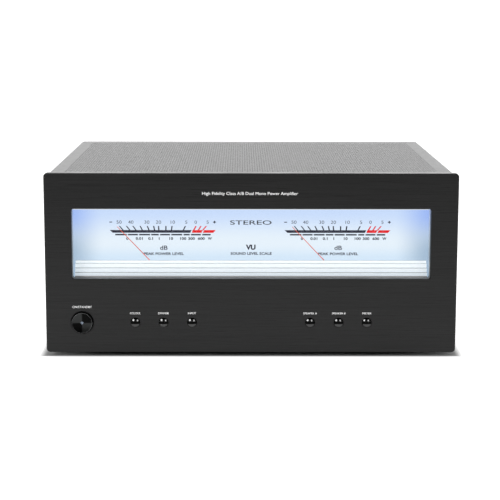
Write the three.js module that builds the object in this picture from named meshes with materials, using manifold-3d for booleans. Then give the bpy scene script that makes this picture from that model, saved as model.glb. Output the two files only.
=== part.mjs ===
// Stereo class AB power amplifier with a backlit twin-meter display.
// Millimetres, +Z up, front facing -Y. The origin is the centre of the footprint, on the ground.
// "Left" is -X, the left-hand side of someone facing the front.
import * as THREE from "three";
import { mergeVertices } from "three/addons/utils/BufferGeometryUtils.js";
import Module from "manifold-3d";

const wasm = await Module();
wasm.setup();

// ---------------------------------------------------------------- driving dimensions
const GAP = 0.3; // clearance between neighbouring pieces
const SHEET = 1.5; // steel sheet of the chassis and cover

const PANEL = { width: 430, height: 189.3, thick: 10, bottom: 4.5, corner: 4 };
const BUTTON_PROUD = 4; // the standby button is the foremost point
const COVER = { width: 423.4, depth: 345, top: 192.7, bottom: 13, bend: 3 };
const POST_PROUD = 27; // the speaker posts are the rearmost point
const OVERALL_DEPTH = BUTTON_PROUD + PANEL.thick + COVER.depth + POST_PROUD;

const FACE = -OVERALL_DEPTH / 2 + BUTTON_PROUD; // front face of the fascia
const PANEL_BACK = FACE + PANEL.thick;
const COVER_BACK = PANEL_BACK + COVER.depth;
const REAR_FACE = COVER_BACK - 2; // outer face of the rear panel
const REAR_INNER = REAR_FACE - SHEET;

const FOOT = { radius: 24, height: 12, x: 162, front: -145, rear: 130 };
const CHASSIS_HALF = 209.2;
const FLOOR_TOP = FOOT.height + SHEET; // upper side of the base plate

const WINDOW = { half: 186.7, low: 82.9, high: 157, corner: 3 };
const PANE = { front: FACE + 10.3, thick: 3, half: 193, low: 71, high: 162 };
const SUB_PANEL = { front: FACE + 14, top: 190.3, low: 14 };
const HOUSING = { front: FACE + 13.6, back: FACE + 40, wall: 2, half: 188.5, low: 74, high: 158 };
const DIAL = { front: FACE + 30, thick: 2 };
const STEPS = { front: FACE + 15, going: 3, half: 185.5, treads: [86.8, 91.1, 95.4, 98.3] };

const METER = { x: [-95.8, 89.1], pivotZ: 85.5, restDeg: -43.4, reach: 66.9 };
const NEEDLE_FRONT = FACE + 28;

const CONTROL_Z = 36.5; // height of the row of buttons
const SMALL_BUTTON = { radius: 4.5, hole: 4.9, proud: 2.5, dome: 1.4, stem: 2.4, end: FACE + 18.3 };
const STANDBY = { x: -177, radius: 10.5, ring: 11.6, hole: 11.9, stem: 4, end: FACE + 18 };
const SWITCH_BOARD = { front: FACE + 24, low: 22, high: 50 };
const SMALL_BUTTONS = {
  colour_button: -121.4,
  dimmer_button: -91.8,
  input_button: -62,
  speaker_a_button: 61.8,
  speaker_b_button: 91.8,
  meter_button: 121.4,
};

const TOROID = { x: 66, y: -60, outer: 60, inner: 16, low: FLOOR_TOP + GAP, high: 74 };
const SINK = {
  inner: 160,
  base: 6,
  outer: 204,
  front: -140,
  pitch: 15,
  fins: 19,
  fin: 2,
  low: FLOOR_TOP + GAP,
  high: 172,
};
const CAN = { radius: 26, height: 76, y: 44, x: [-96, -32, 32, 96] };
const POWER_BOARD = { half: 145, front: 8, back: 80, low: 24, thick: 1.6 };
const AMP_BOARD = { x: 150, thick: 1.6, front: -120, back: 120, low: 30, high: 140 };

const TERMINAL = { x: 118, z: 92, half: 57, tall: 32, flange: 3 };
const POST_OFFSETS = [-42, -20, 20, 42];
const POST = { stud: 4, collar: 9.5, knob: 9, bore: 4.4 };
const INLET = { x: 0, socketZ: 43, fuseZ: 57.3, flange: 3 };
const ROCKER = { x: 48, z: 46, pivotY: REAR_FACE - 4, restDeg: -10, pin: 1.5, pinHole: 1.65 };
const SIGNAL_Z = 152; // height of the signal sockets
const RCA_X = 108;
const XLR_X = 150;

const FINE = 28; // sides of the large round pieces
const COARSE = 20;
const SMALL = 16;

// ---------------------------------------------------------------- materials
function finish(color, roughness, metalness) {
  return new THREE.MeshStandardMaterial({ color, roughness, metalness });
}

const MATERIALS = {
  blackAnodised: finish(0x2b2b2c, 0.42, 0.9),
  blackPaint: finish(0x26272a, 0.45, 0.3),
  plainSteel: finish(0x9a9c9e, 0.4, 0.9),
  polishedBlack: finish(0x101011, 0.2, 0.9),
  clear: finish(0xe8f2fa, 0.05, 0),
  opal: finish(0xdbe9fb, 0.6, 0),
  whitePlastic: finish(0xe6ecf2, 0.5, 0),
  needleRed: finish(0xe2472c, 0.5, 0),
  board: finish(0x14452c, 0.6, 0),
  blackPlastic: finish(0x141414, 0.5, 0),
  rubber: finish(0x0f0f0f, 0.9, 0),
  aluminium: finish(0xb4b6b8, 0.35, 0.9),
  winding: finish(0x8a5a28, 0.5, 0.2),
  canSleeve: finish(0x17181c, 0.4, 0),
  brass: finish(0xc8a24e, 0.3, 1),
};

// ---------------------------------------------------------------- outlines
function roundedRect(x0, x1, y0, y1, radius, steps = 4) {
  const corners = [
    [x1 - radius, y1 - radius, 0],
    [x0 + radius, y1 - radius, 90],
    [x0 + radius, y0 + radius, 180],
    [x1 - radius, y0 + radius, 270],
  ];
  return corners.flatMap(([cx, cy, from]) =>
    Array.from({ length: steps + 1 }, (_, i) => {
      const angle = THREE.MathUtils.degToRad(from + (90 * i) / steps);
      return new THREE.Vector2(cx + radius * Math.cos(angle), cy + radius * Math.sin(angle));
    }),
  );
}

function rect(x0, x1, y0, y1) {
  return points([[x0, y0], [x1, y0], [x1, y1], [x0, y1]]);
}

function disc(cx, cy, radius, sides = COARSE) {
  return Array.from({ length: sides }, (_, i) => {
    const angle = (2 * Math.PI * i) / sides;
    return new THREE.Vector2(cx + radius * Math.cos(angle), cy + radius * Math.sin(angle));
  });
}

function points(pairs) {
  return pairs.map(([x, y]) => new THREE.Vector2(x, y));
}

// ---------------------------------------------------------------- basic solids
const X = new THREE.Vector3(1, 0, 0);
const Y = new THREE.Vector3(0, 1, 0);
const Z = new THREE.Vector3(0, 0, 1);

function extrude(outline, depth) {
  return new THREE.ExtrudeGeometry(new THREE.Shape(outline), { depth, bevelEnabled: false });
}

// A plate whose outline is drawn in X and Z, from y = front to y = front + thick.
function uprightPlate(outline, holes, front, thick) {
  const turn = new THREE.Matrix4().makeBasis(X, Z, Y.clone().negate());
  const plate = extrude(outline, thick).applyMatrix4(turn).translate(0, front + thick, 0);
  const cutters = holes.map((hole) => uprightPlate(hole, [], front - 1, thick + 2));
  return holes.length > 0 ? cut(plate, ...cutters) : plate;
}

// A prism whose outline is drawn in X and Y, standing from z = low to z = high.
function standing(outline, low, high) {
  return extrude(outline, high - low).translate(0, 0, low);
}

// A bar whose section is drawn in Y and Z, lying from x = from to x = to.
function barAlongX(section, from, to) {
  const turn = new THREE.Matrix4().makeBasis(Y, Z, X);
  return extrude(section, to - from).applyMatrix4(turn).translate(from, 0, 0);
}

function block(x0, x1, y0, y1, z0, z1) {
  const box = new THREE.BoxGeometry(x1 - x0, y1 - y0, z1 - z0);
  return box.translate((x0 + x1) / 2, (y0 + y1) / 2, (z0 + z1) / 2);
}

// The profile's points are [radius, height]. It starts and ends on the axis, or closes on itself.
function turned(profile, sides) {
  const outline = points(profile);
  if (THREE.ShapeUtils.area(outline) < 0) outline.reverse();
  if (profile.every(([radius]) => radius > 0)) outline.push(outline[0].clone());
  return new THREE.LatheGeometry(outline, sides);
}

function turnedAlongY(profile, x, z, sides = COARSE) {
  return turned(profile, sides).translate(x, 0, z);
}

function turnedAlongZ(profile, x, y, sides = FINE) {
  return turned(profile, sides).rotateX(Math.PI / 2).translate(x, y, 0);
}

// ---------------------------------------------------------------- joining and cutting
function toSolid(geometry) {
  const bare = geometry.clone();
  bare.deleteAttribute("normal");
  bare.deleteAttribute("uv");
  const merged = mergeVertices(bare, 1e-4);
  const vertProperties = merged.attributes.position.array;
  const triVerts = new Uint32Array(merged.index.array);
  return new wasm.Manifold(new wasm.Mesh({ numProp: 3, vertProperties, triVerts }));
}

function toGeometry(solid) {
  const { vertProperties, triVerts } = solid.getMesh();
  const geometry = new THREE.BufferGeometry();
  geometry.setAttribute("position", new THREE.BufferAttribute(vertProperties, 3));
  geometry.setIndex(new THREE.BufferAttribute(triVerts, 1));
  return geometry.toNonIndexed();
}

function join(...geometries) {
  return toGeometry(geometries.map(toSolid).reduce((whole, next) => whole.add(next)));
}

function cut(geometry, ...tools) {
  return toGeometry(tools.map(toSolid).reduce((left, tool) => left.subtract(tool), toSolid(geometry)));
}

// ---------------------------------------------------------------- assembly
const amplifier = new THREE.Group();
amplifier.name = "power_amplifier";

function add(name, geometry, material) {
  geometry.computeVertexNormals();
  const mesh = new THREE.Mesh(geometry, material);
  mesh.name = name;
  amplifier.add(mesh);
}

const SIDES = [["left", -1], ["right", 1]];

// ---------------------------------------------------------------- front
function addFrontPanel() {
  const top = PANEL.bottom + PANEL.height;
  const outline = roundedRect(-PANEL.width / 2, PANEL.width / 2, PANEL.bottom, top, PANEL.corner);
  const holes = [
    roundedRect(-WINDOW.half, WINDOW.half, WINDOW.low, WINDOW.high, WINDOW.corner, 3),
    disc(STANDBY.x, CONTROL_Z, STANDBY.hole, FINE),
    ...Object.values(SMALL_BUTTONS).map((x) => disc(x, CONTROL_Z, SMALL_BUTTON.hole, SMALL)),
  ];
  const plate = uprightPlate(outline, holes, FACE, PANEL.thick);
  const standoffs = [-200, 200].flatMap((x) =>
    [20, 182].map((z) => {
      const length = SUB_PANEL.front - PANEL_BACK - GAP;
      return uprightPlate(disc(x, z, 4, 6), [], PANEL_BACK - 1, length + 1);
    }),
  );
  add("front_panel", join(plate, ...standoffs), MATERIALS.blackAnodised);
}

function addSubPanel() {
  const margin = HOUSING.wall + GAP;
  const { half, low, high } = HOUSING;
  const outline = rect(-CHASSIS_HALF, CHASSIS_HALF, SUB_PANEL.low, SUB_PANEL.top);
  const holes = [
    rect(-half - margin, half + margin, low - margin, high + margin),
    disc(STANDBY.x, CONTROL_Z, STANDBY.stem + 0.8, 8),
    ...Object.values(SMALL_BUTTONS).map((x) => disc(x, CONTROL_Z, SMALL_BUTTON.stem + 0.8, 8)),
  ];
  add("sub_panel", uprightPlate(outline, holes, SUB_PANEL.front, SHEET), MATERIALS.plainSteel);
}

function addDisplay() {
  const pane = rect(-PANE.half, PANE.half, PANE.low, PANE.high);
  add("display_window", uprightPlate(pane, [], PANE.front, PANE.thick), MATERIALS.clear);

  const { wall, half, low, high } = HOUSING;
  const shaftHoles = METER.x.map((x) => disc(x, METER.pivotZ, 3, 10));
  const outer = rect(-half - wall, half + wall, low - wall, high + wall);
  const inner = rect(-half, half, low, high);
  const rim = uprightPlate(outer, [inner], HOUSING.front, HOUSING.back - HOUSING.front);
  const backWall = uprightPlate(outer, shaftHoles, HOUSING.back - wall, wall);
  add("display_housing", join(rim, backWall), MATERIALS.whitePlastic);

  const face = rect(-half + GAP, half - GAP, low + GAP, high - GAP);
  add("dial_plate", uprightPlate(face, shaftHoles, DIAL.front, DIAL.thick), MATERIALS.opal);
  addSteppedBar();
  addLightBoard();
}

// A staircase of four risers that hides the meter pivots.
function addSteppedBar() {
  const { front, going, half, treads } = STEPS;
  const low = HOUSING.low + GAP;
  const back = front + going * treads.length - 0.5;
  const stair = treads.flatMap((tread, i) => [
    [front + going * i, i === 0 ? low : treads[i - 1]],
    [front + going * i, tread],
  ]);
  const section = points([...stair, [back, treads.at(-1)], [back, low]].reverse());
  add("stepped_bar", barAlongX(section, -half, half), MATERIALS.aluminium);
}

function addLightBoard() {
  const front = DIAL.front + 5;
  const low = METER.pivotZ + 12;
  const high = HOUSING.high - 2;
  const board = block(-WINDOW.half, WINDOW.half, front, front + 1.2, low, high);
  const lamps = Array.from({ length: 12 }, (_, i) => {
    const x = (i - 5.5) * 30;
    return block(x - 2.5, x + 2.5, front - 1.5, front + 0.5, high - 16, high - 11);
  });
  add("light_board", join(board, ...lamps), MATERIALS.board);
}

// ---------------------------------------------------------------- meters
function addMeter(side, x) {
  const mount = HOUSING.back + GAP;
  const profile = [[0, mount + 18], [8, mount + 18], [8, mount + 4], [2, mount + 4], [2, mount],
    [22, mount], [22, mount + 2], [17, mount + 2], [17, mount + 21], [0, mount + 21]];
  add(`meter_movement_${side}`, turnedAlongY(profile, x, METER.pivotZ, COARSE), MATERIALS.plainSteel);
  addNeedle(side, x, mount);
}

// Pointer, hub, shaft and moving coil turn together about the pivot.
function addNeedle(side, x, mount) {
  const front = NEEDLE_FRONT;
  const pointer = uprightPlate(points([[-1.2, -9], [1.2, -9], [0.9, 6], [0.3, METER.reach],
    [-0.3, METER.reach], [-0.9, 6]]), [], front, 0.6);
  const rotor = turnedAlongY([[0, front - 0.7], [3, front - 0.7], [3, front + 1.3], [1, front + 1.3],
    [1, mount + 5], [6.5, mount + 5], [6.5, mount + 16], [0, mount + 16]], 0, 0, SMALL);
  const weight = uprightPlate(disc(0, -8, 2, 8), [], front - 0.4, 1.4);
  const needle = join(pointer, rotor, weight);
  needle.rotateY(THREE.MathUtils.degToRad(METER.restDeg));
  add(`needle_${side}`, needle.translate(x, 0, METER.pivotZ), MATERIALS.needleRed);
}

// ---------------------------------------------------------------- controls
function addControls() {
  const lip = PANEL_BACK + GAP;
  for (const [name, x] of Object.entries(SMALL_BUTTONS)) {
    const { radius, proud, dome, stem, end } = SMALL_BUTTON;
    const front = FACE - proud;
    const profile = [[0, front], [radius * 0.55, front + dome * 0.25], [radius * 0.85, front + dome * 0.65],
      [radius, front + dome], [radius, lip], [radius + 1.8, lip], [radius + 1.8, lip + 1.5],
      [stem, lip + 1.5], [stem, end], [0, end]];
    add(name, turnedAlongY(profile, x, CONTROL_Z, SMALL), MATERIALS.polishedBlack);
  }
  const { x, radius, ring, stem, end } = STANDBY;
  const front = FACE - BUTTON_PROUD;
  const cap = [[0, front + 1.4], [radius - 0.5, front], [radius, front + 0.5], [radius, lip],
    [radius + 2, lip], [radius + 2, lip + 1.6], [stem, lip + 1.6], [stem, end], [0, end]];
  add("standby_button", turnedAlongY(cap, x, CONTROL_Z, FINE), MATERIALS.polishedBlack);
  const inner = radius + 0.4;
  const bezel = [[inner, FACE - 0.8], [ring, FACE - 0.8], [ring, lip - 2 * GAP], [inner, lip - 2 * GAP]];
  add("standby_ring", turnedAlongY(bezel, x, CONTROL_Z, FINE), MATERIALS.blackPlastic);
  addSwitchBoard();
}

function addSwitchBoard() {
  const { front, low, high } = SWITCH_BOARD;
  const board = block(-192, 140, front, front + 1.6, low, high);
  const places = [STANDBY.x, ...Object.values(SMALL_BUTTONS)];
  const switches = places.map((x) =>
    block(x - 4, x + 4, front - 4, front + 0.5, CONTROL_Z - 4, CONTROL_Z + 4),
  );
  const spacers = [-150, 0, 135].map((x) =>
    block(x - 3, x + 3, SUB_PANEL.front + SHEET + GAP, front + 0.5, low + 1, low + 7),
  );
  add("switch_board", join(board, ...switches, ...spacers), MATERIALS.board);
}

// ---------------------------------------------------------------- chassis
function addChassis() {
  const low = FOOT.height;
  const tray = points([[-CHASSIS_HALF, low], [CHASSIS_HALF, low], [CHASSIS_HALF, low + 18],
    [CHASSIS_HALF - SHEET, low + 18], [CHASSIS_HALF - SHEET, FLOOR_TOP], [-CHASSIS_HALF + SHEET, FLOOR_TOP],
    [-CHASSIS_HALF + SHEET, low + 18], [-CHASSIS_HALF, low + 18]]);
  const trayFront = SUB_PANEL.front + SHEET + GAP;
  const trayDepth = REAR_INNER - GAP - trayFront;
  add("base_plate", uprightPlate(tray, [], trayFront, trayDepth), MATERIALS.plainSteel);

  const half = COVER.width / 2;
  const { top, bottom, bend } = COVER;
  const skin = (inset, radius) => {
    const arch = roundedRect(-half + inset, half - inset, bottom - 20, top - inset, radius, 3);
    return arch.filter((p) => p.y > bottom);
  };
  const outer = skin(0, bend);
  const inner = skin(SHEET, bend - SHEET);
  const legs = (x) => [new THREE.Vector2(x, bottom)];
  const shell = [...legs(half), ...outer, ...legs(-half), ...legs(-half + SHEET), ...inner.reverse(),
    ...legs(half - SHEET)];
  const coverFront = PANEL_BACK + GAP;
  add("top_cover", uprightPlate(shell, [], coverFront, COVER_BACK - coverFront), MATERIALS.blackPaint);
  addRearPanel();
  addFeet();
}

function addRearPanel() {
  const outline = rect(-CHASSIS_HALF, CHASSIS_HALF, FOOT.height, SUB_PANEL.top);
  const holes = [
    rect(INLET.x - 14.5, INLET.x + 14.5, 32.5, 63),
    rect(ROCKER.x - 11, ROCKER.x + 11, ROCKER.z - 14.5, ROCKER.z + 14.5),
    disc(0, SIGNAL_Z, 3.5, 12),
    ...SIDES.flatMap(([, sign]) => [
      rect(...spread(sign * TERMINAL.x, 53), ...spread(TERMINAL.z, 12)),
      disc(sign * RCA_X, SIGNAL_Z, 4.5, 12),
      disc(sign * XLR_X, SIGNAL_Z, 11.5, COARSE),
    ]),
  ];
  add("rear_panel", uprightPlate(outline, holes, REAR_INNER, SHEET), MATERIALS.blackPaint);
}

function spread(centre, half) {
  return [centre - half, centre + half];
}

function addFeet() {
  const { radius, height, x, front, rear } = FOOT;
  const top = height - GAP;
  const profile = [[0, 0], [radius - 3, 0], [radius - 1, 1.5], [radius, 4], [radius, top], [0, top]];
  for (const [side, sign] of SIDES) {
    add(`foot_front_${side}`, turnedAlongZ(profile, sign * x, front), MATERIALS.rubber);
    add(`foot_rear_${side}`, turnedAlongZ(profile, sign * x, rear), MATERIALS.rubber);
  }
}

// ---------------------------------------------------------------- inside
function addPowerSupply() {
  const { outer, inner, low, high, y } = TOROID;
  for (const [side, sign] of SIDES) {
    const x = sign * TOROID.x;
    const round = 10;
    const bend = round * (1 - Math.SQRT1_2);
    const coil = [[inner, low], [outer - round, low], [outer - bend, low + bend], [outer, low + round],
      [outer, high - round], [outer - bend, high - bend], [outer - round, high], [inner, high]];
    add(`transformer_${side}`, turnedAlongZ(coil, x, y), MATERIALS.winding);
    const bolt = FLOOR_TOP + GAP;
    const clamp = [[0, bolt], [4, bolt], [4, high + GAP], [38, high + GAP], [38, high + 2], [8, high + 4],
      [8, high + 10], [0, high + 10]];
    add(`transformer_clamp_${side}`, turnedAlongZ(clamp, x, y, COARSE), MATERIALS.plainSteel);
  }
  const { half, front, back, thick } = POWER_BOARD;
  const board = block(-half, half, front, back, POWER_BOARD.low, POWER_BOARD.low + thick);
  const legs = [-half + 6, half - 6].flatMap((x) =>
    [front + 6, back - 6].map((y0) => standing(disc(x, y0, 4, 6), FLOOR_TOP + GAP, POWER_BOARD.low + 0.5)),
  );
  add("power_board", join(board, ...legs), MATERIALS.board);
  const base = POWER_BOARD.low + thick + GAP;
  const top = base + CAN.height;
  const can = [[0, base], [CAN.radius, base], [CAN.radius, top - 2], [CAN.radius - 2, top], [0, top]];
  CAN.x.forEach((x, i) => add(`capacitor_${i + 1}`, turnedAlongZ(can, x, CAN.y), MATERIALS.canSleeve));
}

// Finned extrusions stand at both sides with the output transistors clamped to their inner faces.
function addOutputStages() {
  for (const [side, sign] of SIDES) {
    const { inner, base, outer, front, pitch, fins, fin, low, high } = SINK;
    const comb = [[inner, front], [inner, front + pitch * (fins - 1) + fin]];
    for (let i = fins - 1; i >= 0; i -= 1) {
      const y = front + pitch * i;
      comb.push([outer, y + fin], [outer, y]);
      if (i > 0) comb.push([inner + base, y], [inner + base, y - pitch + fin]);
    }
    const outline = points(comb.map(([x, y]) => [sign * x, y]));
    add(`heatsink_${side}`, standing(outline, low, high), MATERIALS.aluminium);
    addAmpBoard(side, sign);
  }
}

function addAmpBoard(side, sign) {
  const { x, thick, front, back, low, high } = AMP_BOARD;
  const across = (a, b) => [Math.min(sign * a, sign * b), Math.max(sign * a, sign * b)];
  const board = block(...across(x, x + thick), front, back, low, high);
  const transistors = Array.from({ length: 6 }, (_, i) => {
    const y = front + 25 + i * 38;
    return block(...across(x + 1, SINK.inner - GAP), y - 10, y + 10, 60, 86);
  });
  add(`amp_board_${side}`, join(board, ...transistors), MATERIALS.board);
}

function addInputBoard() {
  const y = REAR_INNER - 18;
  add("input_board", block(-168, 168, y, y + 1.6, SIGNAL_Z - 20, SIGNAL_Z + 20), MATERIALS.board);
}

// ---------------------------------------------------------------- rear connectors
function addSpeakerTerminals() {
  for (const [side, sign] of SIDES) {
    const centre = sign * TERMINAL.x;
    const front = REAR_FACE + GAP;
    const collarEnd = front + TERMINAL.flange + 3.2;
    const upright = spread(TERMINAL.z, TERMINAL.tall / 2);
    const flange = roundedRect(...spread(centre, TERMINAL.half), ...upright, 4, 3);
    const plate = uprightPlate(flange, [], front, TERMINAL.flange);
    const body = block(...spread(centre, 52), REAR_INNER - 10, front + 1, ...spread(TERMINAL.z, 11));
    const studs = POST_OFFSETS.map((offset) =>
      turnedAlongY([[0, front + 1], [POST.collar, front + 1], [POST.collar, collarEnd],
        [POST.stud, collarEnd], [POST.stud, collarEnd + 15], [0, collarEnd + 15]],
      centre + offset, TERMINAL.z, SMALL),
    );
    add(`speaker_terminal_${side}`, join(plate, body, ...studs), MATERIALS.blackPlastic);
    POST_OFFSETS.forEach((offset, i) => {
      addPostKnob(`post_knob_${side}_${i + 1}`, centre + offset, collarEnd);
    });
  }
}

// A fluted clamping knob with a 4 mm plug hole in its end.
function addPostKnob(name, x, collarEnd) {
  const start = collarEnd + 0.5;
  const end = REAR_FACE + 2 + POST_PROUD;
  const { knob, bore } = POST;
  const profile = [[bore, start], [knob, start], [knob, end - 1.5], [knob - 1.5, end], [2.1, end],
    [2.1, end - 3.5], [bore, end - 3.5]];
  add(name, turnedAlongY(profile, x, TERMINAL.z, SMALL), MATERIALS.blackPlastic);
}

function addMainsInlet() {
  const front = REAR_FACE + GAP;
  const mouth = front + INLET.flange;
  const { socketZ, fuseZ, x } = INLET;
  const flange = roundedRect(...spread(x, 25), 30, 65.5, 4, 3);
  const module = join(
    uprightPlate(flange, [], front, INLET.flange),
    block(...spread(x, 14), REAR_INNER - 16, front + 1, 33, 62.5),
  );
  const socket = block(...spread(x, 12.2), mouth - 16, mouth + 1, ...spread(socketZ, 8.2));
  const fuseSlot = block(...spread(x, 11.6), mouth - 17, mouth + 1, ...spread(fuseZ, 3.3));
  const blade = (px, pz) => block(...spread(px, 1), mouth - 17, mouth - 4, ...spread(pz, 2));
  const blades = [blade(x - 7, socketZ - 1.4), blade(x, socketZ + 3), blade(x + 7, socketZ - 1.4)];
  add("mains_inlet", join(cut(module, socket, fuseSlot), ...blades), MATERIALS.blackPlastic);
  const drawer = block(...spread(x, 11.2), mouth - 15.5, mouth + 1, ...spread(fuseZ, 2.9));
  add("fuse_drawer", drawer, MATERIALS.blackPlastic);
}

function addMainsSwitch() {
  const { x, z, pivotY, restDeg } = ROCKER;
  const front = REAR_FACE + GAP;
  const frame = uprightPlate(roundedRect(...spread(x, 12.5), ...spread(z, 16.5), 2, 2), [], front, 2.2);
  const body = block(...spread(x, 10.5), REAR_INNER - 16, front + 1, ...spread(z, 14));
  const well = block(...spread(x, 8.6), pivotY - 7, front + 4, ...spread(z, 12.6));
  const bearing = barAlongX(disc(pivotY, z, ROCKER.pinHole, SMALL), ...spread(x, 11));
  add("mains_switch_body", cut(join(frame, body), well, bearing), MATERIALS.blackPlastic);
  const section = points([[-5, -5], [0, -10.5], [6, -10.5], [4.6, 0], [6, 10.5], [0, 10.5], [-5, 5]]);
  const pin = barAlongX(disc(0, 0, ROCKER.pin, SMALL), ...spread(0, 9.9));
  const rocker = join(barAlongX(section, ...spread(0, 8.1)), pin);
  rocker.rotateX(THREE.MathUtils.degToRad(restDeg));
  add("mains_rocker", rocker.translate(x, pivotY, z), MATERIALS.blackPlastic);
}

function addSignalSockets() {
  const front = REAR_FACE + GAP;
  const inward = REAR_INNER - 16;
  for (const [side, sign] of SIDES) {
    const rca = [[0, inward], [4, inward], [4, front], [6.5, front], [6.5, front + 2.5],
      [4.15, front + 2.5], [4.15, front + 11], [1.7, front + 11], [1.7, front + 2], [0, front + 2]];
    add(`rca_socket_${side}`, turnedAlongY(rca, sign * RCA_X, SIGNAL_Z, SMALL), MATERIALS.brass);
    addXlrSocket(side, sign * XLR_X, front, inward);
  }
  const jack = [[0, inward + 4], [3, inward + 4], [3, front], [4.5, front], [4.5, front + 2.5],
    [1.8, front + 2.5], [1.8, inward + 8], [0, inward + 8]];
  add("trigger_socket", turnedAlongY(jack, 0, SIGNAL_Z, SMALL), MATERIALS.plainSteel);
}

function addXlrSocket(side, x, front, inward) {
  const flange = uprightPlate(roundedRect(...spread(x, 13), ...spread(SIGNAL_Z, 15.5), 3, 3), [], front, 2);
  const barrel = turnedAlongY([[0, inward], [11, inward], [11, front + 1], [0, front + 1]], x, SIGNAL_Z);
  const ring = [[7.6, front - 10], [9.4, front - 10], [9.4, front + 3], [7.6, front + 3]];
  const groove = turnedAlongY(ring, x, SIGNAL_Z);
  add(`xlr_socket_${side}`, cut(join(flange, barrel), groove), MATERIALS.blackPlastic);
}

addFrontPanel();
addSubPanel();
addDisplay();
SIDES.forEach(([side], i) => addMeter(side, METER.x[i]));
addControls();
addChassis();
addPowerSupply();
addOutputStages();
addInputBoard();
addSpeakerTerminals();
addMainsInlet();
addMainsSwitch();
addSignalSockets();

export default amplifier;
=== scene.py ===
import math

import bmesh
import bpy
from mathutils import Matrix, Vector

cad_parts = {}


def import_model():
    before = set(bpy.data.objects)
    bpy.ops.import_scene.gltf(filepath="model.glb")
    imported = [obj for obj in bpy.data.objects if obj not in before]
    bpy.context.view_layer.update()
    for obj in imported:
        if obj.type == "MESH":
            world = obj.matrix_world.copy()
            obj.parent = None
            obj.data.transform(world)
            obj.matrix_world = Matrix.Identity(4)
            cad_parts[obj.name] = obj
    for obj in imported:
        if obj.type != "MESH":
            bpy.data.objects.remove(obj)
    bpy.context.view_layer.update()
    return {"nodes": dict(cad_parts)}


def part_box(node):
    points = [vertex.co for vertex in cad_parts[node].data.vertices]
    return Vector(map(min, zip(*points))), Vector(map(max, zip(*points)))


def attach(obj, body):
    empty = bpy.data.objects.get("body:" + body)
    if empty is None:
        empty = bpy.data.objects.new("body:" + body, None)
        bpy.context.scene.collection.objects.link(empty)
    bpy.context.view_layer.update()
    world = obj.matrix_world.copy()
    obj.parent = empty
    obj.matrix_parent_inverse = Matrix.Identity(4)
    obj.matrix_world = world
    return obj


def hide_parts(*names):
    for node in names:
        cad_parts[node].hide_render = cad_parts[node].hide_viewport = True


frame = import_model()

# Looks of a stereo power amplifier with a backlit twin-meter display.
# Lengths are written in millimetres and become metres when a mesh is made. The front faces -Y.
MM = 0.001


def cad(node):
    """A CAD node's lowest and highest corner, in millimetres."""
    low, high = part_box(node)
    return Vector(low) / MM, Vector(high) / MM


# -------------------- driving dimensions
PANEL_LOW, PANEL_HIGH = cad("front_panel")
FACE = PANEL_LOW.y
PANEL = {"thick": 10, "corner": 4, "chamfer": 0.9}
WINDOW = {"half": 186.7, "low": 82.9, "high": 157, "corner": 3}

COVER_LOW, COVER_HIGH = cad("top_cover")
SHEET = 1.5
COVER_BEND = 3
VENT = {"side": 14.5, "front": 14, "rear": 20, "pitch": 5.3, "radius": 1.15, "sides": 12}
COVER_SCREWS = {"y": (-130, -10, 120), "z": 40}

SIDES = [("left", -1), ("right", 1)]
CONTROL_Z = 36.5
LIP_Y = FACE + PANEL["thick"] + 0.3  # where the buttons' flanges start, behind the fascia
STANDBY = {"x": -177, "radius": 10.7, "flange": 12.5, "ring": 11.6, "hole": 11.9}
DISH = {"rim": 0.3, "floor": 2.6, "dimple": 1.5, "fit": 0.03}
SMALL_BUTTON = {"radius": 4.5, "hole": 4.9, "dome": 8}
HOLE_CHAMFER = 0.3  # share of the fascia's chamfer that a button hole gets
# Each small button's place, its label and the label's width.
SMALL_BUTTONS = {
    "colour_button": (-121.4, "COLOUR", 10.9),
    "dimmer_button": (-91.8, "DIMMER", 11.2),
    "input_button": (-62, "INPUT", 8.6),
    "speaker_a_button": (61.8, "SPEAKER A", 14.2),
    "speaker_b_button": (91.8, "SPEAKER B", 14.3),
    "meter_button": (121.4, "METER", 9.5),
}
LABEL_Z = {"title": 172.9, "standby": 53, "buttons": 46.3}

STEP = {"treads": [86.8, 91.1, 95.4, 98.3], "going": 3}
DIAL_FACE = cad("dial_plate")[0].y
PRINT_THICK = 0.06
FONT_CAPITAL = 0.682  # height of the built-in font's capitals at size 1
METER_X = {"left": -95.8, "right": 89.1}
PIVOT_Z = 85.5
NEEDLE = {"front": FACE + 28, "thick": 0.5, "root": 6, "reach": 66.9, "rest": -43.4}

# The meter scale, measured sideways from the pivot: each mark, each tick's foot and head, each line, and
# each bar with how far its ends lean outwards at the top.
MINUS_X = -52.6
LEVEL_MARKS = [("50", -43.8), ("40", -31.4), ("30", -14.4), ("20", -2.1), ("10", 13), ("5", 27.2),
               ("0", 37.2), ("5", 49.8), ("+", 57.1)]
TICKS = [(-39.5, -43.4), (-32.4, -36), (-25.8, -29.2), (-19.2, -21.5), (-12.1, -14), (-6.3, -7.3),
         (-1.8, -2.1), (5.6, 5.7), (11.5, 12.2), (24, 26.3)]
RED_TICKS = [(35, 37.5), (39.9, 42.7), (44.5, 48.4)]
WATT_MARKS = [("0", -35.2), ("0.01", -22.6), ("0.1", -10.6), ("1", -1.5), ("10", 11.2), ("100", 23.9),
              ("300", 32.7), ("600", 43.1), ("W", 52.1)]
WATT_LINES = [(-48, -35.8), (-34.6, -24), (-22.8, -11.2), (-10, -1.9), (-0.6, 10), (11.3, 22.8),
              (24.4, 30.8), (32.1, 42.6), (44, 53)]
DARK_BARS = [(-50.6, 31.3, 3.1, 1.6)]
RED_BARS = [(33, 43.2, -0.9, 1.5), (44.6, 55.8, -1.4, 2.6)]
SCALE_Z = {"numbers": 138.4, "tick_top": 134.2, "bar_top": 129.9, "bar_low": 127, "line_top": 125.75,
           "line_low": 124.2, "watts": 120.85, "unit": 111, "caption": 104.5}
CENTRE_Z = {"word": 138, "unit": 111.6, "caption": 104.8}

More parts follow.
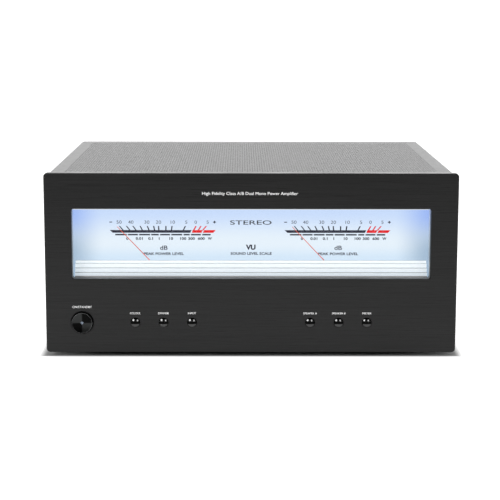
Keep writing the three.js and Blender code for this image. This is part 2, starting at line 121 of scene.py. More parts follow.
REAR = cad("rear_panel")[1].y
SIGNAL_Z = 152
PHONO_X = 108
XLR_X = 150
ROCKER = (48, 160, 46)  # the axle of the mains rocker

CAMERA = {"place": (-10.93, FACE - 1555.2, 375.44), "pitch": 9.556, "yaw": 0.354, "roll": 0.105,
          "lens": 109.12}


def new_material(name, slot, colour, roughness, metallic=0.0, **sockets):
    """A Principled material. Slot, the record's slot it belongs to, is not used. Extra sockets are
    given by name, with _ for a space."""
    material = bpy.data.materials.new(name)
    material.use_nodes = True
    shader = material.node_tree.nodes["Principled BSDF"]
    shader.inputs["Base Color"].default_value = (*colour, 1)
    shader.inputs["Roughness"].default_value = roughness
    shader.inputs["Metallic"].default_value = metallic
    for socket, value in sockets.items():
        shader.inputs[socket.replace("_", " ")].default_value = value
    return material


def grey(value):
    return (value, value, value)


def add_node(material, kind):
    return material.node_tree.nodes.new("ShaderNode" + kind)


def link(material, source, target):
    material.node_tree.links.new(source, target)


def feed(material, source, socket):
    """Links a node's output to a socket of the shader."""
    link(material, source, material.node_tree.nodes["Principled BSDF"].inputs[socket])


def noise(material, scale, detail):
    """Noise in object space. Scale is in cycles per metre: one number, or one for each axis."""
    coords = add_node(material, "TexCoord")
    mapping = add_node(material, "Mapping")
    mapping.inputs["Scale"].default_value = scale if isinstance(scale, tuple) else (scale, scale, scale)
    texture = add_node(material, "TexNoise")
    texture.inputs["Scale"].default_value = 1
    texture.inputs["Detail"].default_value = detail
    link(material, coords.outputs["Object"], mapping.inputs["Vector"])
    link(material, mapping.outputs["Vector"], texture.inputs["Vector"])
    return texture.outputs["Fac"]


def ramp(material, factor, stops):
    """A colour ramp from a list of (position, colour)."""
    node = add_node(material, "ValToRGB")
    elements = node.color_ramp.elements
    while len(elements) < len(stops):
        elements.new(0.5)
    for element, (position, colour) in zip(elements, stops):
        element.position = position
        element.color = (*colour, 1)
    link(material, factor, node.inputs["Fac"])
    return node.outputs["Color"]


def vary_colour(material, scale, detail, low, high):
    """The base colour wanders between two colours with a noise."""
    factor = noise(material, scale, detail)
    feed(material, ramp(material, factor, [(0.3, low), (0.7, high)]), "Base Color")


def map_range(material, factor, ends):
    """A Map Range node. Ends are From Min, From Max, To Min and To Max, in that order."""
    node = add_node(material, "MapRange")
    for socket, value in zip(("From Min", "From Max", "To Min", "To Max"), ends):
        node.inputs[socket].default_value = value
    link(material, factor, node.inputs["Value"])
    return node


def vary_roughness(material, scale, detail, low, high):
    factor = noise(material, scale, detail)
    feed(material, map_range(material, factor, (0.3, 0.7, low, high)).outputs["Result"], "Roughness")


def bump(material, scale, detail, height_mm, strength):
    node = add_node(material, "Bump")
    node.inputs["Strength"].default_value = strength
    node.inputs["Distance"].default_value = height_mm * MM
    link(material, noise(material, scale, detail), node.inputs["Height"])
    feed(material, node.outputs["Normal"], "Normal")


def math_node(material, operation, *values):
    """A Math node. Each value is a number or a socket."""
    node = add_node(material, "Math")
    node.operation = operation
    for target, value in zip(node.inputs, values):
        if isinstance(value, (int, float)):
            target.default_value = value
        else:
            link(material, value, target)
    return node.outputs["Value"]


def span(material, value, low_mm, high_mm):
    """0 at one coordinate and 1 at another, smooth between."""
    node = map_range(material, value, (low_mm * MM, high_mm * MM, 0, 1))
    node.interpolation_type = "SMOOTHSTEP"
    return node.outputs["Result"]


def blend_colours(material, factor, first, second):
    """Each colour is a triple or a socket."""
    node = add_node(material, "Mix")
    node.data_type = "RGBA"
    link(material, factor, node.inputs["Factor"])
    for name, value in (("A", first), ("B", second)):
        socket = next(s for s in node.inputs if s.name == name and s.type == "RGBA")
        if isinstance(value, tuple):
            socket.default_value = (*value, 1)
        else:
            link(material, value, socket)
    return next(s for s in node.outputs if s.type == "RGBA")


def axes(material, vector):
    """The X, Y and Z of a vector."""
    split = add_node(material, "SeparateXYZ")
    link(material, vector, split.inputs["Vector"])
    return [split.outputs[axis] for axis in "XYZ"]


def object_axes(material):
    return axes(material, add_node(material, "TexCoord").outputs["Object"])


# -------------------- outlines, each as a list of (u, v)
def rounded_rect(u0, u1, v0, v1, radius, steps=8):
    corners = [(u1 - radius, v1 - radius), (u0 + radius, v1 - radius), (u0 + radius, v0 + radius),
               (u1 - radius, v0 + radius)]
    outline = []
    for quarter, (u, v) in enumerate(corners):
        for step in range(steps + 1):
            angle = math.pi / 2 * (quarter + step / steps)
            outline.append((u + radius * math.cos(angle), v + radius * math.sin(angle)))
    return outline


def circle(u, v, radius, sides=48):
    turns = [2 * math.pi * i / sides for i in range(sides)]
    return [(u + radius * math.cos(t), v + radius * math.sin(t)) for t in turns]


def rounded(path, radius, steps=4):
    """An open path with its inner corners rounded."""
    result = [path[0]]
    for before, corner, after in zip(path, path[1:], path[2:]):
        corner = Vector(corner)
        back = Vector(before) - corner
        ahead = Vector(after) - corner
        reach = min(radius, back.length * 0.45, ahead.length * 0.45)
        start = corner + back.normalized() * reach
        end = corner + ahead.normalized() * reach
        for t in [step / steps for step in range(steps + 1)]:
            point = start * (1 - t) ** 2 + corner * 2 * t * (1 - t) + end * t ** 2
            result.append(tuple(point))
    result.append(path[-1])
    return result


# -------------------- solids, added to a bmesh
# Each plane turns (u, v, depth) into (x, y, z).
def UPRIGHT(u, v, depth):
    return Vector((u, depth, v))


def ACROSS(u, v, depth):
    return Vector((depth, u, v))


def add_loop(bm, points):
    return [bm.verts.new(point * MM) for point in points]


def bridge(bm, loop_a, loop_b):
    for i in range(len(loop_a)):
        j = (i + 1) % len(loop_a)
        bm.faces.new((loop_a[i], loop_a[j], loop_b[j], loop_b[i]))


def add_plate(bm, plane, outlines, start, end, chamfer=0.0):
    """A plate between two depths. Each outline is a function of an inset: the first is the rim, the rest
    are holes. Both faces get a chamfer."""
    levels = [(start, chamfer), (start + chamfer, 0), (end - chamfer, 0), (end, chamfer)]
    if chamfer == 0:
        levels = [(start, 0), (end, 0)]
    caps = [[], []]
    for index, outline in enumerate(outlines):
        sign = 1 if index == 0 else -1
        loops = []
        for depth, inset in levels:
            loops.append(add_loop(bm, [plane(u, v, depth) for u, v in outline(sign * inset)]))
        for loop_a, loop_b in zip(loops, loops[1:]):
            bridge(bm, loop_a, loop_b)
        caps[0].append(loops[0])
        caps[1].append(loops[-1])
    for cap in caps:
        edges = []
        for loop in cap:
            edges += [bm.edges.get((loop[i - 1], loop[i])) for i in range(len(loop))]
        bmesh.ops.triangle_fill(bm, use_beauty=True, use_dissolve=False, edges=edges)


def add_prism(bm, plane, outline, start, end, chamfer=0.0):
    """A solid of one fixed outline. The chamfer scales the ends towards the outline's middle."""
    middle = sum((Vector(point) for point in outline), Vector((0, 0))) / len(outline)

    def shape(inset):
        points = [Vector(point) for point in outline]
        return [point - (point - middle).normalized() * inset for point in points]

    add_plate(bm, plane, [shape], start, end, chamfer)


def add_block(bm, low, high, bevel=0.0):
    corners = bmesh.ops.create_cube(bm, size=1)["verts"]
    low, high = Vector(low) * MM, Vector(high) * MM
    for vert in corners:
        vert.co = Vector((low[k] if vert.co[k] < 0 else high[k] for k in range(3)))
    if bevel:
        edges = list(dict.fromkeys(edge for vert in corners for edge in vert.link_edges))
        bmesh.ops.bevel(bm, geom=edges, offset=bevel * MM, segments=2, affect="EDGES", profile=0.5)


def add_turned(bm, profile, centre, axis="Y", sides=64, shape=None):
    """A turned solid. The profile is a list of (radius, distance along the axis), and may close on
    itself. Shape gives a factor on the radius from the angle and the radius."""
    closed = profile[0] == profile[-1]
    rings = []
    for radius, along in profile[:-1] if closed else profile:
        count = sides if radius > 0 else 1
        ring = []
        for i in range(count):
            angle = 2 * math.pi * i / sides
            reach = radius * (shape(angle, radius) if shape else 1)
            u, v = reach * math.cos(angle), reach * math.sin(angle)
            place = Vector({"X": (along, u, v), "Y": (u, along, v), "Z": (u, v, along)}[axis])
            ring.append(bm.verts.new((place + Vector(centre)) * MM))
        rings.append(ring)
    if closed:
        rings.append(rings[0])
    for ring_a, ring_b in zip(rings, rings[1:]):
        if len(ring_a) == 1 and len(ring_b) == 1:
            continue
        if len(ring_a) == 1:
            ring_a = ring_a * sides
        if len(ring_b) == 1:
            ring_b = ring_b * sides
        for i in range(sides):
            j = (i + 1) % sides
            corners = list(dict.fromkeys((ring_a[i], ring_a[j], ring_b[j], ring_b[i])))
            bm.faces.new(corners)


# -------------------- pieces
def make(name, bm, material, body="chassis", replaces=(), smooth_angle=35):
    """Turns a solid's bmesh into a piece that rides on a CAD body."""
    bmesh.ops.recalc_face_normals(bm, faces=bm.faces)
    show(name, bm, material, body, replaces, smooth_angle)


def make_turned(name, profile, centre, sides, material, body="chassis", axis="Y", shape=None, **options):
    """A piece of one turned solid. The options are those of make."""
    bm = bmesh.new()
    add_turned(bm, profile, centre, axis, sides, shape)
    make(name, bm, material, body, **options)


def show(name, bm, material, body, replaces=(), smooth_angle=0):
    """Makes a piece of a bmesh whose faces already point outwards."""
    mesh = bpy.data.meshes.new(name)
    bm.to_mesh(mesh)
    bm.free()
    mesh.materials.append(material)
    mesh.polygons.foreach_set("use_smooth", [smooth_angle > 0] * len(mesh.polygons))
    if smooth_angle:
        mesh.set_sharp_from_angle(angle=math.radians(smooth_angle))
    piece = bpy.data.objects.new(name, mesh)
    bpy.context.collection.objects.link(piece)
    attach(piece, body)
    if replaces:
        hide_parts(*replaces)


def lettering(name, text, place, height, material, width=None, bold=0.0, stretch=1.0, rear=False):
    """Flat printed letters. Place is the middle of the line. Height is that of the capitals."""
    curve = bpy.data.curves.new(name, "FONT")
    curve.body = text
    curve.offset = bold
    curve.resolution_u = 4
    curve.extrude = PRINT_THICK / 2
    holder = bpy.data.objects.new(name, curve)
    bpy.context.collection.objects.link(holder)
    bpy.context.view_layer.update()
    mesh = bpy.data.meshes.new_from_object(holder.evaluated_get(bpy.context.evaluated_depsgraph_get()))
    bpy.data.objects.remove(holder)
    across = [vert.co.x for vert in mesh.vertices]
    middle = Vector(((min(across) + max(across)) / 2, FONT_CAPITAL / 2, 0))
    tall = height / FONT_CAPITAL
    wide = width / (max(across) - min(across)) if width else tall * stretch
    turn = Matrix.Rotation(math.pi / 2, 4, "X")
    if rear:
        turn = Matrix.Rotation(math.pi, 4, "Z") @ turn
    size = Matrix.Diagonal((wide, tall, 1, 1))
    bm = bmesh.new()
    bm.from_mesh(mesh)
    bpy.data.meshes.remove(mesh)
    bmesh.ops.remove_doubles(bm, verts=bm.verts, dist=1e-4)
    bmesh.ops.dissolve_degenerate(bm, edges=bm.edges, dist=1e-4)
    bm.transform(Matrix.Scale(MM, 4) @ Matrix.Translation(place) @ turn @ size @ Matrix.Translation(-middle))
    show(name, bm, material, "chassis")


def dress(material, *nodes):
    """Gives carried-over CAD nodes their finished material."""
    for node in nodes:
        for slot in frame["nodes"][node].material_slots:
            slot.material = material


# -------------------- materials
def varied(name, slot, colour, roughness, metallic=0, tones=None, sheen=None, grain=None, **sockets):
    """A material that varies by noise. Tones are a scale, a detail and two colours, sheen is a scale, a
    detail and two roughnesses, and grain is a scale, a detail, a height and a strength."""
    material = new_material(name, slot, colour, roughness, metallic, **sockets)
    if tones:
        vary_colour(material, *tones)
    if sheen:
        vary_roughness(material, *sheen)
    if grain:
        bump(material, *grain)
    return material


def black_chrome(name, low, high, roughness):
    return varied(name, "black_chrome", low, roughness, 1, tones=(600, 3, low, high))


def moulded(name, slot, low, high, roughness, grain=1200, **sockets):
    """Moulded plastic: a faint wander of colour and a fine grain."""
    return varied(name, slot, low, roughness, tones=(120, 3, low, high), grain=(grain, 2, 0.02, 0.35),
                  **sockets)


def print_ink(name, slot, colour, glow=0):
    """Printed ink, with a slight wander in its density. Glow is painted light, except on backlit print."""
    light = tuple(min(1, channel * 1.15) for channel in colour)
    return varied(name, slot, colour, 0.6, tones=(900, 3, colour, light), Specular_IOR_Level=0.2,
                  Emission_Color=(*colour, 1), Emission_Strength=glow)


def spun_chrome_painted_sheen():
    """Turned metal with a painted sheen: two pale and two dark quadrants, like the sheen of a spun disc."""
    material = new_material("spun_chrome_painted_sheen", "black_chrome", (0.03, 0.031, 0.031), 0.3, 1.0,
                            Anisotropic=0.6)
    tangent = add_node(material, "Tangent")
    tangent.direction_type = "RADIAL"
    tangent.axis = "Y"
    feed(material, tangent.outputs["Tangent"], "Tangent")
    x, _, z = object_axes(material)
    x = math_node(material, "SUBTRACT", x, STANDBY["x"] * MM)
    z = math_node(material, "SUBTRACT", z, CONTROL_Z * MM)
    squares = [math_node(material, "MULTIPLY", value, value) for value in (x, z)]
    reach_squared = math_node(material, "ADD", *squares)
    # Painted sheen: pale in the upper left and lower right quadrants, dark in the other two.
    quarter = math_node(material, "DIVIDE", math_node(material, "MULTIPLY", x, z), reach_squared)
    factor = span(material, quarter, -80, 80)
    feed(material, blend_colours(material, factor, (0.027, 0.028, 0.028), grey(0.004)), "Base Color")
    vary_roughness(material, (3000, 300, 3000), 2, 0.26, 0.34)
    return material


def domed_chrome_painted_reflection():
    """Painted reflection: dark in a band below the middle, where such a dome mirrors the dark part of a
    studio.
    """
    material = new_material("domed_chrome_painted_reflection", "black_chrome", grey(0.07), 0.11, 1.0)
    z = object_axes(material)[2]
    foot = CONTROL_Z - SMALL_BUTTON["radius"]
    # Painted reflection: grey below the band and near black in it.
    lower = blend_colours(material, span(material, z, foot + 2.7, foot + 3.5), grey(0.062), grey(0.003))
    # Painted highlight: pale above the band.
    upper = span(material, z, foot + 5.3, foot + 6)
    feed(material, blend_colours(material, upper, lower, grey(0.13)), "Base Color")
    vary_roughness(material, 600, 3, 0.1, 0.13)
    return material


def lit_dial():
    """Light blue backlight: paler in the middle, deeper blue in the upper corners, dimmer at the lower
    sides. A bright and then a dark line run along the top edge."""
    material = new_material("lit_dial", "lit_dial", grey(0), 0.7, Specular_IOR_Level=0, Emission_Strength=1)
    x, _, z = object_axes(material)
    lower, middle, top = (0.7, 0.86, 1.02), (0.85, 0.95, 1.04), (0.62, 0.77, 1.04)
    colour = blend_colours(material, span(material, z, 97, 116), lower, middle)
    colour = blend_colours(material, span(material, z, 118, 152), colour, top)
    off_centre = math_node(material, "ABSOLUTE", math_node(material, "ADD", x, 2 * MM))
    side = span(material, off_centre, 152, 194)
    high = span(material, z, 105, 148)
    low = math_node(material, "SUBTRACT", 1, high)
    for part, tone in ((high, (0.36, 0.52, 0.98)), (low, (0.38, 0.52, 0.68))):
        colour = blend_colours(material, math_node(material, "MULTIPLY", side, part), colour, tone)
    colour = blend_colours(material, span(material, z, 151.6, 152), colour, grey(1.0))
    colour = blend_colours(material, span(material, z, 152, 152.4), colour, (0.08, 0.09, 0.1))
    feed(material, colour, "Emission Color")
    return material


def lit_steps():
    """Painted light on white steps: bright risers, greyer treads in painted shade, dimmer towards the
    bottom.
    """
    material = new_material("lit_steps", "white_plastic", grey(0.5), 0.5, Emission_Strength=0.74)
    z = object_axes(material)[2]
    # Painted glow on the risers, dimmer towards the bottom.
    painted_riser_glow = blend_colours(material, span(material, z, 84, 98.5), (0.68, 0.78, 0.86), (0.86, 0.94, 1.0))
    # Near black below the lowest riser.
    painted_riser_glow = blend_colours(material, span(material, z, 83, 83.8), grey(0.06), painted_riser_glow)
    # Painted shade: the upward treads glow far less than the risers.
    tread = blend_colours(material, span(material, z, 86, 96), (0.06, 0.09, 0.09), (0.3, 0.37, 0.37))
    facing = axes(material, add_node(material, "NewGeometry").outputs["Normal"])[2]
    painted_shade_on_treads = math_node(material, "GREATER_THAN", facing, 0.5)
    feed(material, blend_colours(material, painted_shade_on_treads, painted_riser_glow, tread), "Emission Color")
    return material


BRUSHED = varied("brushed_black", "black_anodised", grey(0.012), 0.4, Specular_IOR_Level=0.21,
                 tones=((12, 60, 2600), 4, grey(0.005), grey(0.012)), sheen=((25, 60, 3500), 2, 0.26, 0.38),
                 grain=((12, 60, 2600), 4, 0.02, 0.5))
PAINT = varied("satin_black_paint", "satin_black_paint", (0.014, 0.014, 0.015), 0.36,
               tones=(40, 3, (0.012, 0.012, 0.013), (0.018, 0.018, 0.019)), sheen=(180, 3, 0.35, 0.39),
               grain=(1800, 2, 0.012, 0.5))
# Painted sheen: the standby dish's pale and dark quadrants are in its base colour.
SPUN_PAINTED_SHEEN = spun_chrome_painted_sheen()
# Painted reflection and highlight on the domes of the small buttons.
DOMED_PAINTED_REFLECTION = domed_chrome_painted_reflection()
RIM_CHROME = black_chrome("rim_chrome", (0.16, 0.162, 0.165), (0.2, 0.202, 0.205), 0.2)
# A polished dimple, made brighter and bluer than the chrome round it: a painted glint.
DIMPLE_PAINTED_GLINT = black_chrome("dimple_painted_glint", (0.13, 0.16, 0.2), (0.16, 0.19, 0.23), 0.25)
POLISHED = varied("polished_black", "black_chrome", (0.02, 0.02, 0.021), 0.12, Specular_IOR_Level=0.9,
                  sheen=(900, 3, 0.1, 0.16))
STEEL = varied("plated_steel", "plated_steel", (0.5, 0.5, 0.52), 0.35, 1,
               tones=(60, 6, (0.42, 0.42, 0.43), (0.56, 0.56, 0.57)), sheen=((15, 300, 300), 3, 0.28, 0.45))
ALUMINIUM = varied("bare_aluminium", "bare_aluminium", (0.55, 0.55, 0.57), 0.4, 1,
                   tones=((400, 400, 12), 3, (0.48, 0.48, 0.5), (0.62, 0.62, 0.64)),
                   grain=((400, 400, 12), 3, 0.03, 0.4))
GOLD = varied("gold_plate", "gold_plate", (0.85, 0.6, 0.22), 0.22, 1, sheen=(500, 3, 0.16, 0.28))
BLACK_PLASTIC = moulded("black_plastic", "black_plastic", grey(0.012), (0.02, 0.02, 0.021), 0.45)
MATT_BLACK = moulded("matt_black", "black_chrome", grey(0.002), grey(0.004), 0.6,
                     Specular_IOR_Level=0.06)
RED_PLASTIC = moulded("red_plastic", "black_plastic", (0.35, 0.01, 0.01), (0.45, 0.02, 0.015), 0.3)
WHITE_PLASTIC = moulded("white_plastic", "white_plastic", (0.75, 0.78, 0.8), (0.8, 0.83, 0.85), 0.5)
RUBBER = moulded("rubber", "rubber", grey(0.01), grey(0.02), 0.85, 2500)
SLEEVE = moulded("capacitor_sleeve", "capacitor_sleeve", (0.01, 0.012, 0.02), (0.015, 0.018, 0.03), 0.35)
BOARD = varied("circuit_board", "circuit_board", (0.01, 0.1, 0.04), 0.45, Coat_Weight=0.4,
               tones=(160, 0, (0.006, 0.07, 0.03), (0.02, 0.16, 0.06)))
FILM = varied("transformer_film", "transformer_winding", (0.25, 0.1, 0.03), 0.3, Coat_Weight=0.5,
              tones=((90, 90, 400), 3, (0.16, 0.06, 0.02), (0.32, 0.14, 0.04)))
ACRYLIC = varied("window_acrylic", "clear_acrylic", (0.12, 0.14, 0.16), 0.04, Alpha=0.04, IOR=1.49,
                 sheen=(20, 3, 0.03, 0.05))
# Painted light: the white print glows a little, though it is no lamp.
WHITE_INK = print_ink("white_ink", "white_plastic", grey(0.85), 0.12)
DARK_INK = print_ink("dark_ink", "black_plastic", (0.022, 0.022, 0.04))
GREY_INK = print_ink("grey_ink", "black_plastic", (0.06, 0.065, 0.075))
RED_INK = print_ink("red_ink", "needle_red", (0.63, 0.001, 0.002), 0.26)
# Painted light: the needle's paint glows, though the needle is no lamp.
NEEDLE_PAINT = print_ink("needle_paint", "needle_red", (0.6, 0.085, 0.035), 0.33)
DIAL = lit_dial()
# Painted glow and painted shade on the stepped bar.
STEPS = lit_steps()


# -------------------- front
def front_panel():
    low, high = PANEL_LOW, PANEL_HIGH
    corner = PANEL["corner"]
    half, bottom, top = WINDOW["half"], WINDOW["low"], WINDOW["high"]
    outlines = [
        lambda c: rounded_rect(low.x + c, high.x - c, low.z + c, high.z - c, corner - c),
        lambda c: rounded_rect(-half + c, half - c, bottom + c, top - c, WINDOW["corner"] - c),
    ]
    holes = [(STANDBY["x"], STANDBY["hole"])]
    holes += [(x, SMALL_BUTTON["hole"]) for x, _, _ in SMALL_BUTTONS.values()]
    for x, radius in holes:
        outlines.append(lambda c, x=x, radius=radius: circle(x, CONTROL_Z, radius - c * HOLE_CHAMFER, 64))
    bm = bmesh.new()
    add_plate(bm, UPRIGHT, outlines, FACE, FACE + PANEL["thick"], PANEL["chamfer"])
    for x in (-200, 200):
        for z in (20, 182):
            profile = [(0, PANEL["thick"]), (4, PANEL["thick"]), (4, high.y - FACE), (0, high.y - FACE)]
            add_turned(bm, profile, (x, FACE, z), sides=32)
    make("front_panel_skin", bm, BRUSHED, replaces=["front_panel"], smooth_angle=20)


def front_lettering():
    y = FACE - 0.05
    text = "High Fidelity Class A/B Dual Mono Power Amplifier"
    lettering("title", text, (-1.4, y, LABEL_Z["title"]), 3, WHITE_INK, width=99)
    place = (STANDBY["x"], y, LABEL_Z["standby"])
    lettering("label_standby", "ON/STANDBY", place, 2.2, WHITE_INK, width=20.4)
    for node, (x, text, width) in SMALL_BUTTONS.items():
        lettering(f"label_{node}", text, (x, y, LABEL_Z["buttons"]), 1.9, WHITE_INK, width=width)


def standby_button():
    """A cap with a shallow spun dish and a dimple let into its front, inside a fixed ring."""
    node = "standby_button"
    low, high = cad(node)
    front = low.y
    floor = front + DISH["floor"]
    radius, flange, dimple = STANDBY["radius"], STANDBY["flange"], DISH["dimple"]
    edge = radius - DISH["rim"]
    centre = (STANDBY["x"], 0, CONTROL_Z)
    rim = [(edge, floor), (edge, front + 0.12), (radius - 0.2, front), (radius, front + 0.2),
           (radius, LIP_Y), (flange, LIP_Y)]
    back = [(flange, LIP_Y + 1.6), (4, LIP_Y + 1.6), (4, high.y), (0, high.y)]
    profile = [(0, floor)] + rounded(rim, 0.35, 5) + back
    make_turned("standby_cap", profile, centre, 96, RIM_CHROME, node, replaces=[node])

    edge -= DISH["fit"]
    floor -= DISH["fit"]
    dish = [(dimple, floor), (dimple, front + 1.2), (4, front + 1.1), (8, front + 0.6), (edge, front + 0.12),
            (edge, floor), (dimple, floor)]
    make_turned("standby_dish", dish, centre, 128, SPUN_PAINTED_SHEEN, node, smooth_angle=50)
    dimple -= DISH["fit"]
    hollow = [(0, front + 1.9), (0.9, front + 1.6), (dimple, front + 1.2), (dimple, floor), (0, floor)]
    make_turned("standby_dimple", hollow, centre, 48, DIMPLE_PAINTED_GLINT, node, smooth_angle=60)

    low, high = cad("standby_ring")
    inner, outer = radius + 0.25, STANDBY["ring"]
    bezel = rounded([(inner, high.y), (inner, low.y), (outer, low.y), (outer, high.y)], 0.25, 4)
    make_turned("standby_bezel", bezel + [bezel[0]], centre, 96, MATT_BLACK, replaces=["standby_ring"])


def small_button(node, x):
    """A domed cap on a stem, with a lip behind the fascia."""
    low, high = cad(node)
    radius, ball = SMALL_BUTTON["radius"], SMALL_BUTTON["dome"]
    flange, back, stem = radius + 1.8, LIP_Y + 1.5, 2.4
    steps = [radius * k / 8 for k in range(9)]
    dome = [(r, low.y + ball - math.sqrt(ball ** 2 - r ** 2)) for r in steps]
    body = [(radius, LIP_Y), (flange, LIP_Y), (flange, back), (stem, back), (stem, high.y), (0, high.y)]
    make_turned(f"{node}_cap", dome + body, (x, 0, CONTROL_Z), 64, DOMED_PAINTED_REFLECTION, node, replaces=[node])


# -------------------- display
def stepped_bar():
    low, high = cad("stepped_bar")
    path = [(low.y, low.z)]
    for index, tread in enumerate(STEP["treads"]):
        start = low.y + STEP["going"] * index
        path += [(start, tread), (start + STEP["going"], tread)]
    path[-1] = (high.y, tread)
    outline = rounded(path + [(high.y, low.z)], 0.5, 3)
    bm = bmesh.new()
    add_prism(bm, ACROSS, outline, low.x, high.x)
    make("lit_steps", bm, STEPS, replaces=["stepped_bar"])


def dial_bar(bm, left, right, low, high, slant_left=0, slant_right=0):
    """A printed bar whose ends may lean outwards at the top."""
    outline = [(left, low), (right, low), (right + slant_right, high), (left - slant_left, high)]
    add_prism(bm, UPRIGHT, outline, DIAL_FACE - PRINT_THICK, DIAL_FACE)


def dial_tick(bm, foot, head, width):
    low, high, half = SCALE_Z["bar_top"] - 0.3, SCALE_Z["tick_top"], width / 2
    outline = [(foot - half, low), (foot + half, low), (head + half, high), (head - half, high)]
    add_prism(bm, UPRIGHT, outline, DIAL_FACE - PRINT_THICK, DIAL_FACE)


def scale_bars(name, pivot_x, bars, ticks, tick_width, lines, ink):
    bm = bmesh.new()
    for left, right, *slants in bars:
        dial_bar(bm, pivot_x + left, pivot_x + right, SCALE_Z["bar_low"], SCALE_Z["bar_top"], *slants)
    for foot, head in ticks:
        dial_tick(bm, pivot_x + foot, pivot_x + head, tick_width)
    for start, end in lines:
        dial_bar(bm, pivot_x + start, pivot_x + end, SCALE_Z["line_low"], SCALE_Z["line_top"])
    make(name, bm, ink, smooth_angle=0)


def dial_print(side, pivot_x):
    scale_bars(f"scale_{side}", pivot_x, DARK_BARS, TICKS, 1.35, WATT_LINES, DARK_INK)
    scale_bars(f"scale_red_{side}", pivot_x, RED_BARS, RED_TICKS, 1.5, [], RED_INK)
    x, z = pivot_x + MINUS_X, SCALE_Z["numbers"]
    minus = bmesh.new()
    dial_bar(minus, x - 1.5, x + 1.5, z - 0.45, z + 0.45)
    make(f"minus_{side}", minus, DARK_INK, smooth_angle=0)
    for index, (text, x) in enumerate(LEVEL_MARKS, 1):
        bold = 0.05 if text == "+" else 0
        place = (pivot_x + x, DIAL_FACE, z)
        lettering(f"level_{side}_{index}", text, place, 3.4, DARK_INK, bold=bold, stretch=1.17)
    for index, (text, x) in enumerate(WATT_MARKS):
        stretch = 1 if text == "W" else 1.26
        place = (pivot_x + x, DIAL_FACE, SCALE_Z["watts"])
        lettering(f"watts_{side}_{index}", text, place, 2.6, DARK_INK, bold=0.035, stretch=stretch)
    x = pivot_x + 3.3
    lettering(f"unit_{side}", "dB", (x, DIAL_FACE, SCALE_Z["unit"]), 4.4, DARK_INK, width=8, bold=0.015)
    place = (x, DIAL_FACE, SCALE_Z["caption"])
    lettering(f"caption_{side}", "PEAK POWER LEVEL", place, 2.6, DARK_INK, width=42.5, bold=0.032)


def centre_print():
    place = (-0.3, DIAL_FACE, CENTRE_Z["word"])
    lettering("centre_word", "STEREO", place, 4.4, GREY_INK, width=44, bold=0.01)
    place = (-0.4, DIAL_FACE, CENTRE_Z["unit"])
    lettering("centre_unit", "VU", place, 4.8, DARK_INK, width=10.4, bold=0.05)
    place = (0.1, DIAL_FACE, CENTRE_Z["caption"])
    lettering("centre_caption", "SOUND LEVEL SCALE", place, 2.6, DARK_INK, width=43.6, bold=0.032)


def needle(side, pivot_x):
    high = cad(f"needle_{side}")[1]
    front, back = NEEDLE["front"], NEEDLE["front"] + NEEDLE["thick"]
    blade = bmesh.new()
    root, reach = NEEDLE["root"], NEEDLE["reach"]
    outline = [(-1.1, -9), (1.1, -9), (0.45, root), (0.28, reach - 1), (0, reach), (-0.28, reach - 1),
               (-0.45, root)]
    add_prism(blade, UPRIGHT, outline, front, back)
    weight = [(0, front - 0.4), (2, front - 0.4), (2, front + 1), (0, front + 1)]
    add_turned(blade, rounded(weight, 0.2, 2), (0, 0, -8), sides=32)
    hub = [(0, front - 0.7), (3, front - 0.7), (3, front + 1.3), (1, front + 1.3), (1, high.y - 11)]
    coil = [(1, high.y - 11), (6.5, high.y - 11), (6.5, high.y), (0, high.y)]
    add_turned(blade, rounded(hub, 0.2, 2) + coil, (0, 0, 0), sides=32)
    turn = Matrix.Rotation(math.radians(NEEDLE["rest"]), 4, "Y")
    bmesh.ops.transform(blade, matrix=turn, verts=blade.verts)
    bmesh.ops.translate(blade, vec=Vector((pivot_x, 0, PIVOT_Z)) * MM, verts=blade.verts)
    make(f"pointer_{side}", blade, NEEDLE_PAINT, f"needle_{side}", replaces=[f"needle_{side}"])


# -------------------- cover
def cover_section(inset, steps=6):
    """The cover's section in (x, z), from the foot of the left side to the foot of the right side."""
    half, top = COVER_HIGH.x - inset, COVER_HIGH.z - inset
    radius = COVER_BEND - inset
    left = [(-half, COVER_LOW.z)]
    for step in range(steps + 1):
        angle = math.pi / 2 * step / steps
        left.append((-half + radius - radius * math.cos(angle), top - radius + radius * math.sin(angle)))
    left.append((-(COVER_HIGH.x - VENT["side"]), top))
    return left + [(-x, z) for x, z in reversed(left)]


def folded_cover():
    """One bent sheet with a rectangular opening in its top."""
    stations = [COVER_LOW.y, COVER_LOW.y + VENT["front"], COVER_HIGH.y - VENT["rear"], COVER_HIGH.y]
    bm = bmesh.new()
    outer, inner = [], []
    for skin, inset in ((outer, 0), (inner, SHEET)):
        section = cover_section(inset)
        skin.extend(add_loop(bm, [Vector((x, y, z)) for x, z in section]) for y in stations)
    middle = len(section) // 2 - 1
    for skin in (outer, inner):
        for row in range(3):
            near, far = skin[row], skin[row + 1]
            for i in range(len(near) - 1):
                if row != 1 or i != middle:
                    bm.faces.new((near[i], near[i + 1], far[i + 1], far[i]))
    rims = [[(end, i), (end, i + 1)] for end in (0, 3) for i in range(len(section) - 1)]
    rims += [[(row, side), (row + 1, side)] for row in range(3) for side in (0, -1)]
    opening = [(1, middle), (1, middle + 1), (2, middle + 1), (2, middle)]
    rims += [[opening[k - 1], opening[k]] for k in range(4)]
    for (row_a, i), (row_b, j) in rims:
        bm.faces.new((outer[row_a][i], outer[row_b][j], inner[row_b][j], inner[row_a][i]))
    make("cover_fold", bm, PAINT, replaces=["top_cover"], smooth_angle=30)


